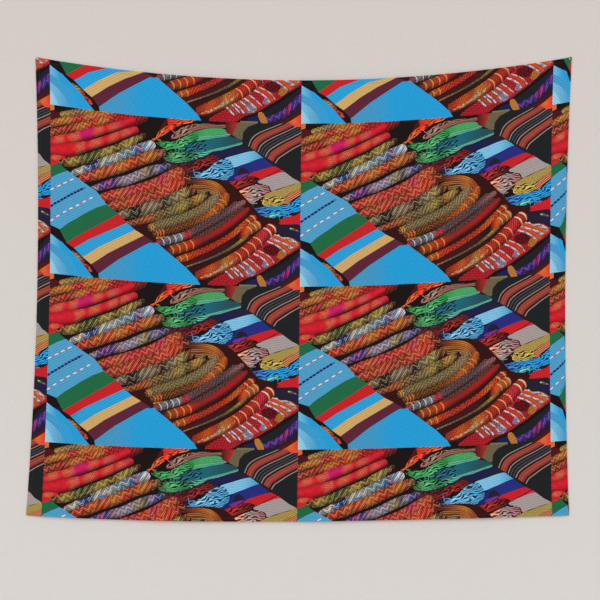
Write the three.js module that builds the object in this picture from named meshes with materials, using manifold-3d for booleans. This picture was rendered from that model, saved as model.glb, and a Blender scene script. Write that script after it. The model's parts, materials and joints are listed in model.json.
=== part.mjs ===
// A printed cloth wall hanging that hangs by its two top corners from two nails.
// Millimetres, +Z up, +X to the right of a person facing it, front towards -Y.
// The origin is on the wall, midway between the nails and level with them.
// The wall is the plane Y = 0, and the hems' back faces lie on it.
//
// The cloth is one sheet. It bends at two lines, so it is made in three zones that meet there:
// the two top corners that stay pinned to the wall, an upper half that swings out from the crease
// under the nails, and a lower half that folds up at mid height.
import * as THREE from "three";
import Module from "manifold-3d";
import { mergeVertices } from "three/addons/utils/BufferGeometryUtils.js";

const wasm = await Module();
wasm.setup();

// Cloth
const clothWidth = 1524;
const clothHeight = 1295;
const clothThick = 0.4;
const hemWidth = 13;
const hemLayers = 2;

// How the cloth hangs: amounts by which its outline leaves a plain rectangle
const hangSlack = 8; // the top corners are pinned this much closer together than the cloth is wide
const bottomSag = 17;
const bottomLean = 0.35; // how far the bottom edge's lowest point sits off centre, to the left
const leftWaist = 8; // the most that the left edge draws inwards
const leftEnd = -26; // where it ends, inwards; negative is flared outwards
const rightWaist = 19;
const rightEnd = 8;

// Stitching
const threadThick = 0.25;
const threadWidth = 0.4;
const stitchMargin = 2; // from the stitch line to the hem's inner edge

// Nails
const nailInset = 6; // from the cloth's side edge to the nail
const nailDrop = 6; // from the corner's tip down to the nail
const shankRadius = 0.7;
const headRadius = 1.9;
const headThick = 0.8;
const nailDepth = 24; // how far the nail goes into the wall
const pointLength = 3;

// Care label, a folded tape caught in the left hem at the back
const labelLength = 46;
const labelWidth = 28;
const labelThick = 0.6;
const labelHeight = 120; // from the bottom left corner up to the label's lower edge

// Clearances
const touchGap = 0.3; // between pieces that lie on each other
const bendGap = 0.3; // across a line where the cloth bends
const creaseBelowNail = 4;

// Worked out
const halfSpan = (clothWidth - hangSlack) / 2;
const topSag = Math.sqrt((3 * 2 * halfSpan * hangSlack) / 8); // of a shallow arc that much longer
const cornerZ = nailDrop;
const nailX = halfSpan - nailInset;
const creaseZ = -creaseBelowNail;
const foldZ = (creaseZ + cornerZ - clothHeight) / 2;
const stitchInset = hemWidth - stitchMargin;
const hemFrontY = -hemLayers * clothThick;
const faceBackY = hemFrontY - touchGap;
const faceFrontY = faceBackY - clothThick;
const far = 4 * (clothWidth + clothHeight);
const roundSteps = 24; // facets round a nail and its hole

const colours = {
  print: 0xb5322c,
  hem: 0x8f2f28,
  thread: 0x2b2b2d,
  label: 0xf2f0ea,
  steel: 0xb9bcc0,
};

// ---- the hung outline ----

// Distance inwards from a plumb line at share v of the way down.
// It is nought at the top, `most` at its widest and `end` at the bottom.
function sideBow(v, most, end) {
  const rise = 2 * most + 2 * Math.sqrt(most * most - most * end);
  return rise * v - ((rise * rise) / (4 * most)) * v * v;
}

const leftX = (v) => -halfSpan + sideBow(v, leftWaist, leftEnd);
const rightX = (v) => halfSpan - sideBow(v, rightWaist, rightEnd);
const bow = (u) => 4 * u * (1 - u);

function edge(steps, place) {
  return Array.from({ length: steps + 1 }, (_, i) => place(i / steps));
}

const topEdge = edge(48, (u) => new THREE.Vector2(halfSpan * (2 * u - 1), cornerZ - topSag * bow(u)));
const bottomEdge = edge(40, (u) => {
  const x = leftX(1) + (rightX(1) - leftX(1)) * u;
  return new THREE.Vector2(x, cornerZ - clothHeight - bottomSag * bow(u) * (1 + bottomLean * (1 - 2 * u)));
});
const leftEdge = edge(20, (v) => new THREE.Vector2(leftX(v), cornerZ - clothHeight * v));
const rightEdge = edge(20, (v) => new THREE.Vector2(rightX(v), cornerZ - clothHeight * v));

const sides = {
  top: { line: topEdge, inward: new THREE.Vector2(0, -1) },
  bottom: { line: bottomEdge, inward: new THREE.Vector2(0, 1) },
  left: { line: leftEdge, inward: new THREE.Vector2(1, 0) },
  right: { line: rightEdge, inward: new THREE.Vector2(-1, 0) },
};

// ---- solids ----

// A three.js geometry as a manifold-3d solid.
function solidOf(geometry) {
  const bare = geometry.clone();
  bare.deleteAttribute("normal");
  bare.deleteAttribute("uv");
  const merged = mergeVertices(bare, 1e-4);
  return new wasm.Manifold(
    new wasm.Mesh({
      numProp: 3,
      vertProperties: merged.attributes.position.array,
      triVerts: new Uint32Array(merged.index.array),
    }),
  );
}

function geometryOf(solid) {
  const mesh = solid.getMesh();
  const geometry = new THREE.BufferGeometry();
  geometry.setAttribute("position", new THREE.BufferAttribute(new Float32Array(mesh.vertProperties), 3));
  geometry.setIndex(new THREE.BufferAttribute(new Uint32Array(mesh.triVerts), 1));
  geometry.computeVertexNormals();
  return geometry;
}

// A flat plate with that outline in X and Z, from backY forwards to frontY.
function plate(outline, frontY, backY) {
  const shape = new THREE.Shape(outline);
  const geometry = new THREE.ExtrudeGeometry(shape, { depth: backY - frontY, bevelEnabled: false });
  geometry.rotateX(Math.PI / 2).translate(0, backY, 0);
  return solidOf(geometry);
}

// A strip along one side of the cloth, between two distances in from its edge.
function strip(side, from, to, frontY, backY) {
  const { line, inward } = sides[side];
  const outer = line.map((p) => p.clone().addScaledVector(inward, from));
  const inner = line.map((p) => p.clone().addScaledVector(inward, to));
  return plate([...outer, ...inner.reverse()], frontY, backY);
}

// Everything inside the cloth's outline, from backY forwards to frontY.
function sheet(frontY, backY) {
  const downRight = rightEdge.slice(1);
  const alongBottom = bottomEdge.slice(0, -1).reverse();
  const upLeft = leftEdge.slice(1, -1).reverse();
  return plate([...topEdge, ...downRight, ...alongBottom, ...upLeft], frontY, backY);
}

// A box that holds everything between two heights, and one side of X = 0 if asked.
function band(lowZ, highZ, lowX = -far, highX = far) {
  const geometry = new THREE.BoxGeometry(highX - lowX, 2 * far, highZ - lowZ);
  geometry.translate((lowX + highX) / 2, 0, (lowZ + highZ) / 2);
  return solidOf(geometry);
}

const zones = {
  leftCorner: band(creaseZ + bendGap / 2, far, -far, 0),
  rightCorner: band(creaseZ + bendGap / 2, far, 0, far),
  upper: band(foldZ + bendGap / 2, creaseZ - bendGap / 2),
  lower: band(-far, foldZ - bendGap / 2),
};

// ---- pieces ----

const group = new THREE.Group();

function material(colour, roughness, metalness) {
  return new THREE.MeshStandardMaterial({ color: colour, roughness, metalness });
}

const materials = {
  print: material(colours.print, 0.85, 0),
  hem: material(colours.hem, 0.9, 0),
  thread: material(colours.thread, 0.6, 0),
  label: material(colours.label, 0.5, 0),
  steel: material(colours.steel, 0.3, 1),
};

function addPiece(name, solid, finish) {
  const mesh = new THREE.Mesh(geometryOf(solid), materials[finish]);
  mesh.name = name;
  group.add(mesh);
}

// The sunken line that a hem's back stitches lie in.
function stitchGroove(side) {
  const half = threadWidth / 2 + touchGap;
  return strip(side, stitchInset - half, stitchInset + half, -threadThick - touchGap, 1);
}

// The part of a strip that is on the cloth and clear of a margin along some of its other sides.
function clearOf(solid, others, margin) {
  const cut = (rest, other) => rest.subtract(strip(other, -hemWidth, margin, -hemWidth, hemWidth));
  return others.reduce(cut, solid.intersect(sheet(-hemWidth, hemWidth)));
}

// One side's turned-back hem, with its ends clear of the hems that cross it.
function hem(side, crossing) {
  return clearOf(strip(side, 0, hemWidth, hemFrontY, 0), crossing, hemWidth + touchGap);
}

// A run of stitches along one side, which stops at the stitch lines that cross it.
function thread(side, crossing, frontY) {
  const half = threadWidth / 2;
  const run = strip(side, stitchInset - half, stitchInset + half, frontY, frontY + threadThick);
  return clearOf(run, crossing, stitchInset + half + touchGap);
}

const needleY = faceFrontY - touchGap - threadThick;
const bobbinY = -threadThick;
const uprights = ["left", "right"];
const levels = ["top", "bottom"];
const grooves = [...uprights, ...levels].map(stitchGroove);

// A hole for a nail's shank, right through every layer.
function nailHole(x) {
  const radius = shankRadius + touchGap;
  const geometry = new THREE.CylinderGeometry(radius, radius, 2 * nailDepth, roundSteps);
  return solidOf(geometry.translate(x, 0, 0));
}

// A top corner, pinned to the wall: its face, and the hem turned back along both of its edges.
function addCorner(side, x) {
  const zone = zones[side + "Corner"];
  const hole = nailHole(x);
  const turned = hem("top", []).add(hem(side, []));
  addPiece(side + "_corner_face", sheet(faceFrontY, faceBackY).intersect(zone).subtract(hole), "print");
  addPiece(side + "_corner_hem", turned.intersect(zone).subtract(hole), "hem");
}

// One run of hem in one zone, with its two threads.
function addHem(name, zone, side, hemEnds, threadEnds) {
  const grooved = grooves.reduce((rest, groove) => rest.subtract(groove), hem(side, hemEnds));
  addPiece(name, grooved.intersect(zone), "hem");
  addPiece(name + "_needle_thread", thread(side, threadEnds, needleY).intersect(zone), "thread");
  addPiece(name + "_bobbin_thread", thread(side, threadEnds, bobbinY).intersect(zone), "thread");
}

// One zone of the cloth: its face, the level hem it holds and its share of the two upright hems.
function addZone(name, level) {
  const zone = zones[name];
  addPiece(name + "_panel", sheet(faceFrontY, faceBackY).intersect(zone), "print");
  addHem(level + "_hem", zone, level, [], uprights);
  uprights.forEach((side) => addHem(`${side}_hem_${name}`, zone, side, levels, levels));
}

// A steel nail, turned about its own length, which runs into the wall.
function addNail(name, x) {
  const headBackY = faceFrontY - touchGap;
  const profile = [
    [0, headBackY - headThick],
    [headRadius * 0.8, headBackY - headThick],
    [headRadius, headBackY - headThick * 0.6],
    [headRadius, headBackY],
    [shankRadius, headBackY],
    [shankRadius, nailDepth - pointLength],
    [0, nailDepth],
  ];
  const geometry = new THREE.LatheGeometry(profile.map(([r, y]) => new THREE.Vector2(r, y)), roundSteps);
  addPiece(name, solidOf(geometry.translate(x, 0, 0)), "steel");
}

// The label lies behind the face, inwards from the hem that holds its end.
function addLabel() {
  const lowZ = cornerZ - clothHeight + labelHeight;
  const hemInnerX = (z) => leftX((cornerZ - z) / clothHeight) + hemWidth;
  const fromX = Math.max(hemInnerX(lowZ), hemInnerX(lowZ + labelWidth)) + touchGap;
  const backY = faceBackY + touchGap + labelThick;
  const geometry = new THREE.BoxGeometry(labelLength, labelThick, labelWidth);
  geometry.translate(fromX + labelLength / 2, backY - labelThick / 2, lowZ + labelWidth / 2);
  addPiece("care_label", solidOf(geometry), "label");
}

addNail("left_nail", -nailX);
addNail("right_nail", nailX);
addCorner("left", -nailX);
addCorner("right", nailX);
addZone("upper", "top");
addZone("lower", "bottom");
addLabel();

export default group;
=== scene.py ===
"""A printed cloth wall hanging, held to a plaster wall by a nail through each top corner.

Lengths are metres, apart from the print's own design, which is drawn in millimetres.
"""
import json
import math

import bmesh
import bpy
import numpy as np
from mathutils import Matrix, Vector
from mathutils.geometry import delaunay_2d_cdt
from mathutils.kdtree import KDTree


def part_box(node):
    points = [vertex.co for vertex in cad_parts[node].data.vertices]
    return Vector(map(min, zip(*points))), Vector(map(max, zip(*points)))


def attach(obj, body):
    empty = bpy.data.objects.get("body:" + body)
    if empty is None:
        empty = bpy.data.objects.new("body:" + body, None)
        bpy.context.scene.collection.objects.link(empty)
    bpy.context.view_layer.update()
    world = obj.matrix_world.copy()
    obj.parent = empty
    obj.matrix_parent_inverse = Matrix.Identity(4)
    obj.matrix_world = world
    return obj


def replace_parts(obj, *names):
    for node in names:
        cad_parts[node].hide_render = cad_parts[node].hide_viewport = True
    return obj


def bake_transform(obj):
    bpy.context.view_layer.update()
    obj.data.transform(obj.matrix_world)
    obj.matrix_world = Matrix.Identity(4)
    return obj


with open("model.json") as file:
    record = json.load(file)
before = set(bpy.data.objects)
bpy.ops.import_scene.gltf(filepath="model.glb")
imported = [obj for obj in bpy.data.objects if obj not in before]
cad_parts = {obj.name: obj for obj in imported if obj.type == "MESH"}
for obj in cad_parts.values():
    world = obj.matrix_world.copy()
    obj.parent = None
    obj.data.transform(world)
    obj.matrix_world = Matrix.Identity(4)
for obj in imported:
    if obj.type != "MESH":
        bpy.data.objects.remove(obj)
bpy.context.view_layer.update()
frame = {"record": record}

MM = 0.001
TURN = 2 * math.pi

# ---- camera ----

VIEW_WIDTH = 1.696  # what the picture spans at the cloth
LENS, SENSOR = 85.0, 36.0
VIEW_CENTRE = Vector((-0.010, 0.0, -0.681))


def make_camera():
    data = bpy.data.cameras.new("camera")
    data.lens, data.sensor_width = LENS, SENSOR
    camera = bpy.data.objects.new("camera", data)
    camera.location = VIEW_CENTRE + Vector((0, -VIEW_WIDTH * LENS / SENSOR, 0))
    camera.rotation_euler = (math.pi / 2, 0, 0)
    bpy.context.collection.objects.link(camera)
    bpy.context.scene.camera = camera


make_camera()

# ---- how the cloth hangs ----

WIDTH, HEIGHT = 1.524, 1.295  # of the flat cloth
HALF_SPAN = 0.758  # half the distance between its pinned corners
CORNER_Z = 0.006
FOLD_Z = next(j for j in frame["record"]["behaviour"]["joints"] if j["name"] == "fold_up")["pos_m"][2]
TOP_SAG, BOTTOM_SAG, BOTTOM_LEAN = 0.0674, 0.017, 0.35
LEFT_WAIST, LEFT_END = 0.008, -0.026
RIGHT_WAIST, RIGHT_END = 0.019, 0.008
FRONT_Y, THICK = -0.0015, 0.0004


def side_bow(v, most, end):
    """How far a side edge lies inwards from a plumb line, at share v of the way down."""
    rise = 2 * most + 2 * math.sqrt(most * most - most * end)
    return rise * v - rise * rise / (4 * most) * v * v


def top_and_bottom(a):
    """Heights of the top and the bottom edge at share a of the way across."""
    bow = 4 * a * (1 - a)
    bottom = CORNER_Z - HEIGHT - BOTTOM_SAG * bow * (1 + BOTTOM_LEAN * (1 - 2 * a))
    return CORNER_Z - TOP_SAG * bow, bottom


def hung(s, t):
    """Where the flat point s from the left edge and t from the top hangs, as x and z."""
    a, b = s / WIDTH, t / HEIGHT
    top, bottom = top_and_bottom(a)
    down = 4 * b * (1 - b)
    curl_left = 0.004 * (1 - b) + 0.008 * down
    curl_right = 0.004 * (1 + b) + 0.0065 * down
    left = -HALF_SPAN + side_bow(b, LEFT_WAIST, LEFT_END) - curl_left
    right = HALF_SPAN - side_bow(b, RIGHT_WAIST, RIGHT_END) + curl_right
    x = left + (right - left) * a
    x += curl_left * np.exp(-s / 0.03) - curl_right * np.exp(-(WIDTH - s) / 0.03)
    return x, top + (bottom - top) * b


def off_wall(s, t):
    """How far the cloth stands off the wall in its soft folds, which are shallow where it doubles over."""
    near_fold = np.exp(-(((hung(s, t)[1] - FOLD_Z) / 0.09) ** 2))
    b = np.clip(t / HEIGHT, 0, 1)
    from_left, from_right = np.hypot(s, t), np.hypot(WIDTH - s, t)
    held = (1 - np.exp(-((from_left / 0.3) ** 2))) * (1 - np.exp(-((from_right / 0.3) ** 2)))
    left_angle, right_angle = np.arctan2(t, s + 0.02), np.arctan2(t, WIDTH - s + 0.02)
    drag = 0.0016 * np.sin(11 * left_angle + 0.4) * np.exp(-from_left / 0.7)
    drag += 0.0018 * np.sin(10 * right_angle + 1.3) * np.exp(-from_right / 0.8)
    hang = 0.0011 * np.sin(TURN * (s + 0.09 * np.sin(2.1 * t)) / 0.41 + 0.7) * b**0.7
    hang += 0.0006 * np.sin(TURN * (s - 0.3 * t) / 0.23 + 2.0) * b
    sides = (1 - np.exp(-s / 0.035)) * (1 - np.exp(-(WIDTH - s) / 0.04))
    return held * (0.0012 + sides * (0.0048 + drag + hang)) * (1 - 0.62 * near_fold)


def hung_points(s, t, y):
    """Points of the hung cloth, y behind or in front of where its face would be if flat."""
    x, z = hung(s, t)
    return np.stack([x, y - off_wall(s, t), z], axis=1)


# ---- the print: palette ----

PALETTE = """
black 1c1e20 ink 221c2e soot 180e0f maroon 481218 wine 5a2438 brick a42e2a red c42026 scarlet de321c
crimson d01e2e salmon de4c3c rose d03a4e magenta ce1c62 cerise e21a48 blush ec9468 orange da6a2e
amber d68a36 gold bea250 sand cea868 cream e0caa4 olive 787050 moss 3e5832 bottle 1c6642 fir 24523e
green 248c38 leaf 56b070 mint 6cbc9e teal 1c6a7c petrol 224e54 navy 1a1c4c royal 222c7a
indigo 3e329c violet 742c98 lilac b09cb4 white e0d8e2 pearl bcbaaa sky 7abce2 azure 4298c6
denim 3a70b0 cyan 229eda ice 96d6ea slate 544e58 grey a69896 pewter 869ea6 taupe 968268 brown 623222
rust a64a2c mauve a86c6a dusk 5c423a dregs 3e1412 clay 8c5842
""".split()


def linear(name):
    """A palette colour as linear light."""
    c = np.array([*bytes.fromhex(PALETTE[PALETTE.index(name) + 1])]) / 255
    return np.where(c > 0.04045, ((c + 0.055) / 1.055) ** 2.4, c / 12.92)


# ---- the print: shapes ----
# The design repeats every REPEAT. Each shape is drawn in millimetres from the repeat's top left corner,
# x to the right and y down, and each lies over the ones before it. Points are texts such as "12,30 40,28",
# a roll's with half its width after each. Colours are one name, or a text such as "0 red 40 gold" that
# places them along x. A style is a text of the kind of cloth, its motif's colour and the motif's strength.

REPEAT = (713.0, 478.5)
FIRST_SEAM = (43.5, 127.0)  # where on the flat cloth the first whole repeat starts
SHAPES = []


def rows(text):
    """The numbers of a text of points, one row each. Numbers pass through as they are."""
    if isinstance(text, str):
        text = [group.split(",") for group in text.split()]
    return np.array(text, float)


def smooth(points, steps=6, closed=False):
    """A Catmull-Rom curve through the points, with any further columns carried along."""
    p = rows(points)
    if len(p) < 3:
        return p
    p = np.vstack([p[-1], p, p[:2]]) if closed else np.vstack([2 * p[0] - p[1], p, 2 * p[-1] - p[-2]])
    share = np.linspace(0, 1, steps, endpoint=False)[:, None]
    parts = []
    for a, b, c, d in zip(p[:-3], p[1:-2], p[2:-1], p[3:]):
        cubic = (3 * b - a - 3 * c + d) * share**3 + (2 * a - 5 * b + 4 * c - d) * share**2
        parts.append(0.5 * (cubic + (c - a) * share + 2 * b))
    return np.vstack(parts if closed else [*parts, p[-2:-1]])


def across(line):
    """Unit vectors square to a line, towards its lower side."""
    run = np.gradient(line, axis=0)
    run /= np.maximum(np.linalg.norm(run, axis=1, keepdims=True), 1e-9)
    return np.stack([-run[:, 1], run[:, 0]], axis=1) * np.where(run[:, :1] < 0, -1, 1)


def shape(outline, guide, colours, style="weave black 0", round_=0.0, half=30.0, fine=1.0):
    """One coloured shape. Its threads run along the guide, and `fine` is how small its motif is."""
    kind, accent, strength = style.split()
    words = colours.split() if " " in colours else ["0", colours]
    SHAPES.append({
        "outline": outline, "guide": rows(guide)[:, :2], "kind": kind, "accent": linear(accent),
        "stops": rows(words[::2]), "tones": np.array([linear(name) for name in words[1::2]]),
        "strength": float(strength), "round": round_, "half": half, "fine": fine,
    })


def roll(points, colours, style="hatch blush 0.75", round_=0.72, steps=5, fine=1.0):
    """A rolled textile with round ends."""
    spine = smooth(points, steps)
    line, half = spine[:, :2], spine[:, 2:] * (1.2 if round_ > 0.6 else 1.0)
    side = across(line)
    caps = []
    for end, run, width, way, turn in (
        (line[-1], line[-1] - line[-2], half[-1], side[-1], 1),
        (line[0], line[0] - line[1], half[0], side[0], -1),
    ):
        run = run / np.linalg.norm(run)
        angles = np.linspace(-math.pi / 2, math.pi / 2, 7 if steps > 3 else 4)[1:-1] * turn
        caps.append([end + width * (0.7 * math.cos(k) * run + math.sin(k) * way) for k in angles])
    outline = np.vstack([line - side * half, caps[0], (line + side * half)[::-1], caps[1]])
    shape(outline, line, colours, style, round_, half[:, 0], fine)


def rings(points, stops, colour, width=3.5):
    """Stripes that curve round a roll with those points, at each of the stops along x."""
    spine = smooth(points, 12)
    side = across(spine[:, :2])
    for stop in stops:
        k = np.abs(spine[:, 0] - stop).argmin()
        way, half = side[k], spine[k, 2] * 1.17
        run = np.array([way[1], -way[0]])
        turn = np.linspace(-1, 1, 7)[:, None]
        bow = spine[k, :2] + way * half * turn + run * half * 0.4 * (1 - turn**2)
        outline = np.vstack([bow - run * width / 2, (bow + run * width / 2)[::-1]])
        shape(outline, spine[max(k - 3, 0): k + 4], colour, "weave black 0.15", 0.6, half)


def patch(points, colours, guide=None, style="weave black 0", sharp=False, fine=1.0):
    """A piece of cloth with that outline."""
    outline = rows(points) if sharp else smooth(points, 4, closed=True)
    shape(outline, rows(points)[:2] if guide is None else guide, colours, style, fine=fine)


def fan(first, last, bands):
    """Stripes between two curves, each from one share of the way across to another."""
    a, b = smooth(first), smooth(last)
    for start, end, colour in bands:
        edge, other = a + (b - a) * start, a + (b - a) * end
        shape(np.vstack([edge, other[::-1]]), edge, colour)


def fringe(points, colours, guide, accent="soot", ends="", count=7):
    """A tassel: a tangle of strands with that outline, and loose ones that stray round each of its ends,
    which are given by place, reach and angle."""
    patch(points, colours, guide, "strands " + accent + " 0.9")
    for n, (x, y, reach, turn) in enumerate(rows(ends)):
        for k in range(count):
            a = math.radians(turn + 150 * (k / (count - 1) - 0.5))
            bend = 0.9 * math.sin(2.4 * k + n)
            far = reach * (0.75 + 0.35 * math.sin(3.7 * k + 1.3 * n))
            middle = (x + 0.5 * far * math.cos(a + bend), y + 0.5 * far * math.sin(a + bend), 1.4)
            strand = [(x, y, 1.6), middle, (x + far * math.cos(a), y + far * math.sin(a), 1.0)]
            roll(strand, colours, "weave " + accent + " 0.3", round_=0.5, steps=3)


def dashes(points, colour, length, width):
    """A row of short woven dashes, centred on the points and lying along them."""
    p = rows(points)
    run = np.gradient(p, axis=0)
    run /= np.linalg.norm(run, axis=1, keepdims=True)
    side = np.stack([-run[:, 1], run[:, 0]], axis=1)
    for c, r, n in zip(p, run * length / 2, side * width / 2):
        ends = [(-1, -0.6), (-0.6, -1), (1, -0.6), (1, 0.6), (0.6, 1), (-1, 0.6)]
        shape(np.array([c + r * a + n * b for a, b in ends]), [c - r, c + r], colour)


def draw_top_left_rolls():
    """Stacked rolls of red, gold and cream cloth that rise to the right."""
    patch("0,0 330,0 300,60 200,110 60,165 0,160", "soot", sharp=True)
    patch("0,0 12,0 12,14 0,18", "orange", sharp=True)
    patch("0,22 26,20 28,42 0,48", "maroon")
    roll("34,24,7 70,15,9 112,2,9 140,-10,8", "34 gold 80 olive 120 gold", fine=1.5)
    roll("-10,61,9 30,44,9 62,36,9 100,24,9 140,11,10 190,-6,10", "0 rust 25 amber 60 amber 68 crimson "
        "94 crimson 104 amber 140 orange 175 amber 190 red", fine=1.5)
    roll("-10,86,9 30,70,9 75,56,10 110,44,11 150,27,10 205,6,10", "0 salmon 14 brick 24 rust 38 red "
        "66 brick 84 amber 106 orange 114 red 134 scarlet 144 amber 162 orange 172 red", "hatch blush 0.7",
        fine=1.35)
    roll("195,28,18 225,10,22 262,-6,20", "195 red 230 red 262 brick", "hatch blush 0.1", fine=1.5)
    roll("-10,112,10 30,97,12 70,85,12 100,72,13 135,59,11 165,47,10 200,33,10 235,16,9", "0 crimson "
        "8 crimson 16 salmon 38 salmon 46 crimson 54 crimson 62 salmon 78 salmon 86 magenta 122 magenta "
        "132 salmon 148 salmon 154 crimson 164 crimson 172 salmon 190 rose 205 crimson", "satin blush 0.8",
        round_=0.85, fine=1.1)
    roll("-10,132,10 30,127,17 60,120,17 100,106,12 140,90,11 180,72,11 215,55,10 245,42,9", "0 crimson "
        "72 crimson 80 salmon 95 salmon 102 crimson 110 crimson 120 salmon 140 salmon 150 crimson "
        "164 crimson 176 salmon 190 salmon 200 red 212 salmon 230 rose 245 red", "satin blush 0.8",
        round_=0.85)
    roll("-8,158,9 14,153,10 40,148,6", "0 crimson 8 salmon 22 salmon 34 red", "satin blush 0.8",
        round_=0.85)
    patch("0,156 24,158 40,152 18,168 0,172", "red")


def draw_middle_rolls():
    """Olive, cream, orange and purple rolls below them."""
    patch("25,165 120,130 200,92 262,56 300,75 330,110 200,200 110,220 50,185", "soot")
    roll("30,162,7 60,156,11 100,142,11 145,122,11 185,104,10 215,89,11 245,70,9 268,55,6", "30 soot "
        "42 brown 52 gold 74 gold 82 moss 140 moss 152 gold 176 gold 188 black 198 black 204 gold 232 gold "
        "246 olive 262 brown", "hatch sand 0.75")
    roll("60,190,6 85,179,9 120,163,11 160,143,12 200,124,12 245,101,13 290,82,12", "60 slate 70 pearl "
        "96 cream 104 denim 136 royal 144 pearl 190 pearl 205 pewter 238 pewter 246 denim 254 denim "
        "259 magenta 264 brick 269 sky 284 white", "hatch white 0.5", fine=0.9)
    patch("96,156 120,150 132,141 134,148 118,156 100,160", "ink")
    patch("158,148 168,142 176,144 166,151", "denim")
    roll("82,203,7 120,188,12 160,171,13 200,155,13 250,131,13 298,111,13 322,101,9", "82 brick 98 scarlet "
        "112 salmon 120 brick 130 orange 148 orange 156 brick 162 orange 178 salmon 200 amber 222 orange "
        "238 scarlet 252 rust 268 orange 284 amber 305 rust 325 olive", "hatch blush 0.65")
    roll("115,230,6 145,216,9 185,200,11 225,188,12 262,170,13 295,154,12 338,139,7", "115 dusk 122 lilac "
        "138 mauve 146 indigo 156 violet 166 magenta 176 indigo 188 royal 198 mauve 208 lilac 250 lilac "
        "262 taupe 276 gold 284 slate 292 navy 304 lilac 322 indigo 338 slate", "hatch white 0.4", fine=1.2)


def draw_red_rolls():
    """The long red rolls, and the dark and olive ones under them."""
    patch("140,250 250,190 350,150 400,165 430,200 330,270 215,330 170,280", "soot")
    roll("140,250,9 180,238,13 220,226,14 262,211,14 302,194,14 342,171,15 372,154,13", "140 rust "
        "160 scarlet 172 rose 186 salmon 196 orange 222 rose 246 crimson 262 rose 276 scarlet 292 salmon "
        "312 rose 322 magenta 334 rose 346 orange 362 salmon 375 rust", "hatch blush 0.72", fine=1.2)
    roll("168,268,8 205,262,15 245,248,17 285,233,18 325,213,19 365,190,17 394,172,10", "168 brick "
        "185 salmon 204 rust 240 salmon 262 brick 284 rust 300 brick 316 salmon 340 salmon 362 scarlet "
        "380 brick 395 dregs", "hatch blush 0.72", fine=1.1)
    roll("196,292,7 230,285,13 270,270,15 310,254,14 350,235,14 388,212,12 420,194,9", "196 taupe "
        "218 taupe 228 black 258 black 268 taupe 300 taupe 318 brown 330 black 344 olive 358 taupe "
        "384 gold 396 soot 406 rust 420 soot", "hatch cream 0.42")


def draw_thin_rolls():
    """Thin layers that fan out below, bending up to the right."""
    patch("215,320 330,270 430,205 410,172 500,172 560,225 600,270 650,300 480,460 400,440 300,370",
        "dregs", "215,330 400,250 600,200", "lines soot 0.7")
    roll("404,180,7 440,180,8 472,187,8 494,209,8 490,240,7", "404 brown 430 rust 470 amber 495 rust",
        "lines soot 0.7")
    roll("412,194,7 448,194,8 474,204,7 486,228,7", "412 brown 450 brown 474 rust 490 brown",
        "lines amber 0.7")
    roll("424,208,7 450,206,7 470,214,6 478,234,6", "420 dregs 450 brown 478 rust", "lines sand 0.6")
    roll("420,246,5 444,236,5 462,222,5", "420 dregs 462 brown", "hatch amber 0.4", fine=1.8)
    gold = "215,318,7 255,305,8 295,291,10 332,277,12 372,256,13 402,240,12 432,224,10 452,213,7"
    roll(gold, "215 brick 262 rust 278 salmon 290 amber 300 brown 310 gold 322 dusk 350 olive 384 gold "
        "394 moss 406 soot 414 amber 432 gold 446 soot", "hatch sand 0.7", fine=1.5)
    olive = "286,322,9 320,310,12 360,296,12 400,279,13 440,256,13 466,232,13 476,214,8"
    roll(olive, "286 dusk 300 olive 420 olive 470 taupe", "hatch sand 0.7", fine=1.9)
    rings(olive, (272, 282, 292), "amber", 3.0)
    brown = "300,338,8 350,322,10 400,302,10 440,284,10 474,258,11 494,232,12 502,214,8"
    roll(brown, "300 dusk 330 brown 400 brown 440 rust 462 orange 480 rust 500 orange", "hatch amber 0.6",
        fine=1.9)
    rings(brown, (306, 314, 322), "orange", 3.4)
    rings(brown, (466, 484, 492), "amber", 2.6)
    roll("305,350,3 350,342,3 400,322,3 450,292,3 480,268,3", "305 amber 360 rust 420 brown 480 amber",
        "hatch blush 0.3", fine=1.9)
    roll("392,328,6 430,308,7 470,282,7 505,258,6 530,236,6", "392 slate 470 slate 530 dusk",
        "hatch mauve 0.7", fine=1.9)
    grey = "310,364,8 345,352,10 385,338,9 420,322,7 460,298,7 500,270,8 535,244,8 552,232,6"
    roll(grey, "310 rose 318 slate 334 pewter 346 slate 360 pewter 376 pewter 388 brick 396 rose 410 slate "
        "450 dusk 500 slate 545 mauve", "hatch mauve 0.6", fine=1.9)
    rings(grey, (322, 340, 356, 372), "white", 2.0)
    rings(grey, (384, 398), "crimson", 3.0)
    patch("400,346 440,322 490,290 540,252 556,250 548,268 500,306 450,334 414,352",
        "400 brown 470 dusk 550 brown", "400,346 540,252", "hatch mauve 0.5", fine=1.9)
    orange = "335,386,10 372,374,12 410,360,11 445,342,8 485,318,8 520,292,8 550,266,8 564,252,5"
    roll(orange, "335 dregs 350 rust 400 scarlet 425 brick 450 brick 520 red 560 brick", "lines soot 0.6")
    rings(orange, (346, 366, 386, 404), "amber", 3.6)
    rings(orange, (352, 372, 392), "moss", 2.0)
    low = "366,408,7 400,398,10 440,380,9 480,358,9 520,332,9 548,306,9 580,278,10"
    roll(low, "366 rust 378 orange 398 scarlet 440 red 490 red 510 scarlet 540 orange 556 scarlet 572 red "
        "590 red", "hatch amber 0.45", fine=1.9)
    rings(low, (372, 388), "amber", 3.4)
    rings(low, (564, 576), "sand", 3.4)
    dark = "384,424,6 420,410,10 460,391,10 500,366,10 535,342,10 560,320,11 590,298,12"
    roll(dark, "384 maroon 500 maroon 540 soot 552 scarlet 562 orange 578 rust 596 orange",
        "lines black 0.3")
    roll("390,428,2 430,412,2.6 470,394,3 510,372,4 545,346,5 560,332,6", "390 sand 430 taupe 500 olive "
        "540 gold 565 amber", "hatch soot 0.9", fine=2.2, round_=0.5)
    rings(dark, (566, 580, 592), "sand", 3.0)


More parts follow.
